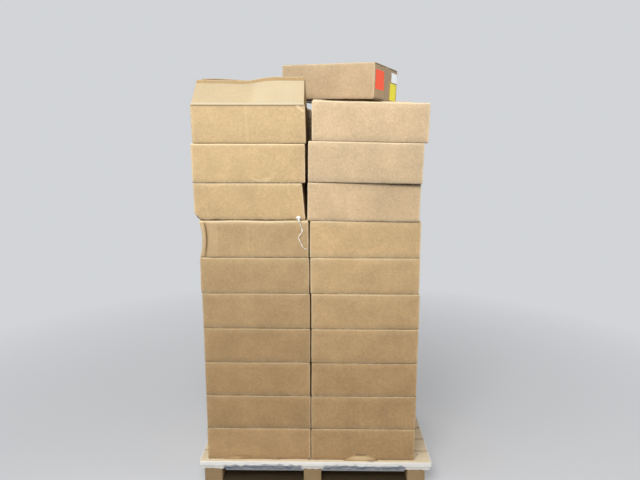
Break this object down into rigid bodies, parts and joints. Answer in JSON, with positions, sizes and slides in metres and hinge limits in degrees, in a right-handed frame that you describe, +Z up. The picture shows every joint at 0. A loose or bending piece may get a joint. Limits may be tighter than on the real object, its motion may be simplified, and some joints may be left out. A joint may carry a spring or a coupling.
{
  "type": "pallet load of cartons",
  "caption": "Wooden block pallet stacked high with kraft cartons, one open at the top and one lying loose, with torn stretch film round the deck's edge.",
  "frame": {"origin": "middle of the pallet's footprint, on the floor", "axes": "+X along the pallet's long side, to the right seen from the front; +Y from the load's front to its back; +Z up"},
  "size_m": [1.203, 0.91, 2.1818],
  "materials": {
    "pallet_wood": "sawn softwood, dry and unplaned",
    "kraft_board": "corrugated kraft board, matt, with faint flutes, creases and crushed corners",
    "stretch_film": "thin wrinkled stretch film, milky where it is bunched",
    "packing_tape": "thin tan packing tape, semi-gloss"
  },
  "bodies": {
    "root": {"deck_boards": "pallet_wood", "stringer_boards": "pallet_wood", "blocks": "pallet_wood", "bottom_boards": "pallet_wood", "carton_front_left_1": "kraft_board", "carton_front_left_2": "kraft_board", "carton_front_left_3": "kraft_board", "carton_front_left_4": "kraft_board", "carton_front_left_5": "kraft_board", "carton_front_left_6": "kraft_board", "carton_front_left_7": "kraft_board", "carton_front_left_8": "kraft_board", "carton_front_left_9": "kraft_board", "carton_front_right_1": "kraft_board", "carton_front_right_2": "kraft_board", "carton_front_right_3": "kraft_board", "carton_front_right_4": "kraft_board", "carton_front_right_5": "kraft_board", "carton_front_right_6": "kraft_board", "carton_front_right_7": "kraft_board", "carton_front_right_8": "kraft_board", "carton_front_right_9": "kraft_board", "carton_front_right_10": "kraft_board", "carton_rear_left_1": "kraft_board", "carton_rear_left_2": "kraft_board", "carton_rear_left_3": "kraft_board", "carton_rear_left_4": "kraft_board", "carton_rear_left_5": "kraft_board", "carton_rear_left_6": "kraft_board", "carton_rear_left_7": "kraft_board", "carton_rear_left_8": "kraft_board", "carton_rear_left_9": "kraft_board", "carton_rear_left_10": "kraft_board", "carton_rear_right_1": "kraft_board", "carton_rear_right_2": "kraft_board", "carton_rear_right_3": "kraft_board", "carton_rear_right_4": "kraft_board", "carton_rear_right_5": "kraft_board", "carton_rear_right_6": "kraft_board", "carton_rear_right_7": "kraft_board", "carton_rear_right_8": "kraft_board", "carton_rear_right_9": "kraft_board", "carton_rear_right_10": "kraft_board", "open_carton": "kraft_board", "carton_loose": "kraft_board", "film_band": "stretch_film", "film_scrap": "stretch_film", "film_tail": "stretch_film", "slit_tape": "packing_tape", "loose_tape": "packing_tape", "seam_tape": "packing_tape"}
  },
  "joints": []
}
